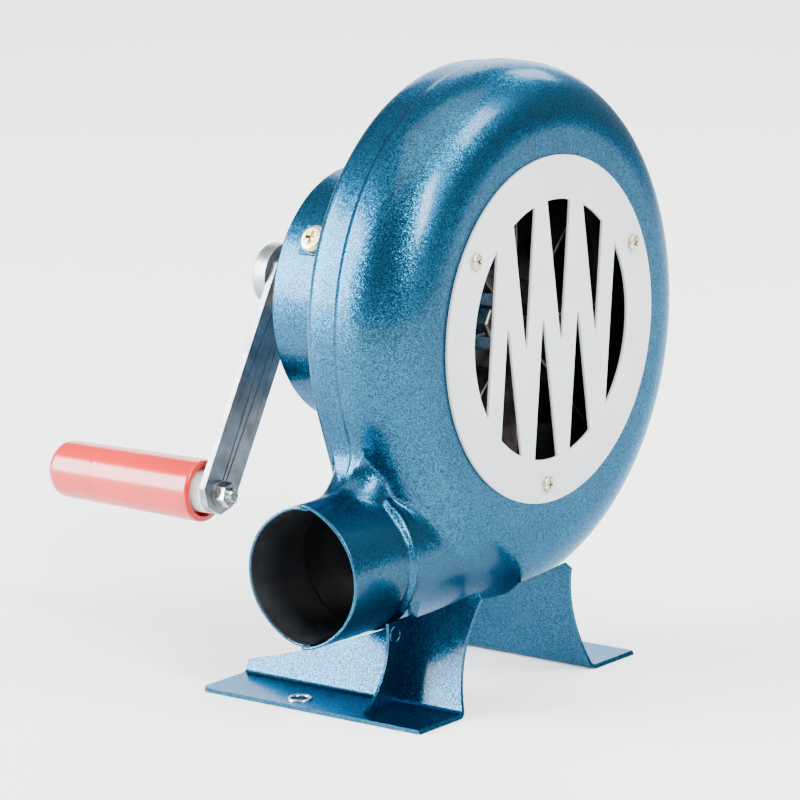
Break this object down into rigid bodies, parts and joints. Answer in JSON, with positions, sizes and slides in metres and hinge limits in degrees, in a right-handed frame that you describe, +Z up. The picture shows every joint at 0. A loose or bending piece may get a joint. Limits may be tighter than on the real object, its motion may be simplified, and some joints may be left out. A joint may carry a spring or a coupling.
{
  "type": "hand-cranked forge blower",
  "caption": "Hand-cranked centrifugal blower for a forge: pressed scroll casing on two feet, round outlet, slotted intake plate, geared drum and crank with a turning grip.",
  "frame": {"origin": "midway between the two foot-bolt holes, on the surface that the feet stand on", "axes": "+Z up, -Y towards the intake side, -X out of the outlet; all shafts run along Y"},
  "size_m": [0.2466, 0.2437, 0.2677],
  "materials": {
    "blue_paint": "blue metallic flake paint, gloss clear coat",
    "grey_plate": "pale grey satin paint",
    "bare_steel": "bare mild steel, lightly oiled",
    "zinc_plate": "dull zinc plating",
    "yellow_zinc": "yellow passivated zinc",
    "iron_gear": "cut iron, greased",
    "bronze": "sintered bronze",
    "red_plastic": "gloss red moulding",
    "white_plastic": "white moulding"
  },
  "bodies": {
    "casing": {"front_casing": "blue_paint", "rear_casing": "blue_paint", "intake_grille": "grey_plate", "grille_screws": "yellow_zinc", "outlet_foot": "blue_paint", "far_foot": "blue_paint", "foot_gusset": "blue_paint", "gearbox_drum": "blue_paint", "drum_screws": "yellow_zinc", "drum_nuts": "yellow_zinc", "front_bearing_plate": "bare_steel", "rear_bearing_plate": "bare_steel", "plate_posts": "bare_steel", "fan_front_bush": "bronze", "fan_rear_bush": "bronze", "idler_front_bush": "bronze", "idler_rear_bush": "bronze", "crank_inner_bush": "bronze", "crank_outer_bush": "bronze"},
    "crank": {"crank_shaft": "bare_steel", "crank_gear": "iron_gear", "crank_spacer": "zinc_plate", "crank_hub": "zinc_plate", "crank_arm": "zinc_plate", "handle_bolt": "zinc_plate", "handle_washer": "zinc_plate", "handle_nut": "zinc_plate"},
    "grip": {"handle_grip": "red_plastic", "handle_bush": "white_plastic"},
    "idler": {"idler_shaft": "bare_steel", "idler_pinion": "iron_gear", "idler_gear": "iron_gear"},
    "fan": {"fan_shaft": "bare_steel", "fan_pinion": "iron_gear", "impeller_disc": "bare_steel", "impeller_hub": "blue_paint", "impeller_nut": "bare_steel", "blade_rivets": "bare_steel", "blade_1": "bare_steel", "blade_2": "bare_steel", "blade_3": "bare_steel", "blade_4": "bare_steel", "blade_5": "bare_steel", "blade_6": "bare_steel", "blade_7": "bare_steel", "blade_8": "bare_steel"}
  },
  "joints": [
    {"name": "crank_spin", "type": "hinge", "parent": "casing", "child": "crank", "pos_m": [0.02398, 0.06, 0.16592], "axis": [0, 1, 0], "continuous": true},
    {"name": "idler_spin", "type": "hinge", "parent": "casing", "child": "idler", "pos_m": [0.05, 0.04, 0.18095], "axis": [0, 1, 0], "continuous": true},
    {"name": "fan_spin", "type": "hinge", "parent": "casing", "child": "fan", "pos_m": [0.05, 0, 0.1509], "axis": [0, 1, 0], "continuous": true},
    {"name": "grip_spin", "type": "hinge", "parent": "crank", "child": "grip", "pos_m": [-0.02852, 0.12, 0.07499], "axis": [0, 1, 0], "continuous": true}
  ],
  "couplings": [
    {"joint": "idler_spin", "follows": "crank_spin", "ratio": -4},
    {"joint": "fan_spin", "follows": "crank_spin", "ratio": 16}
  ]
}
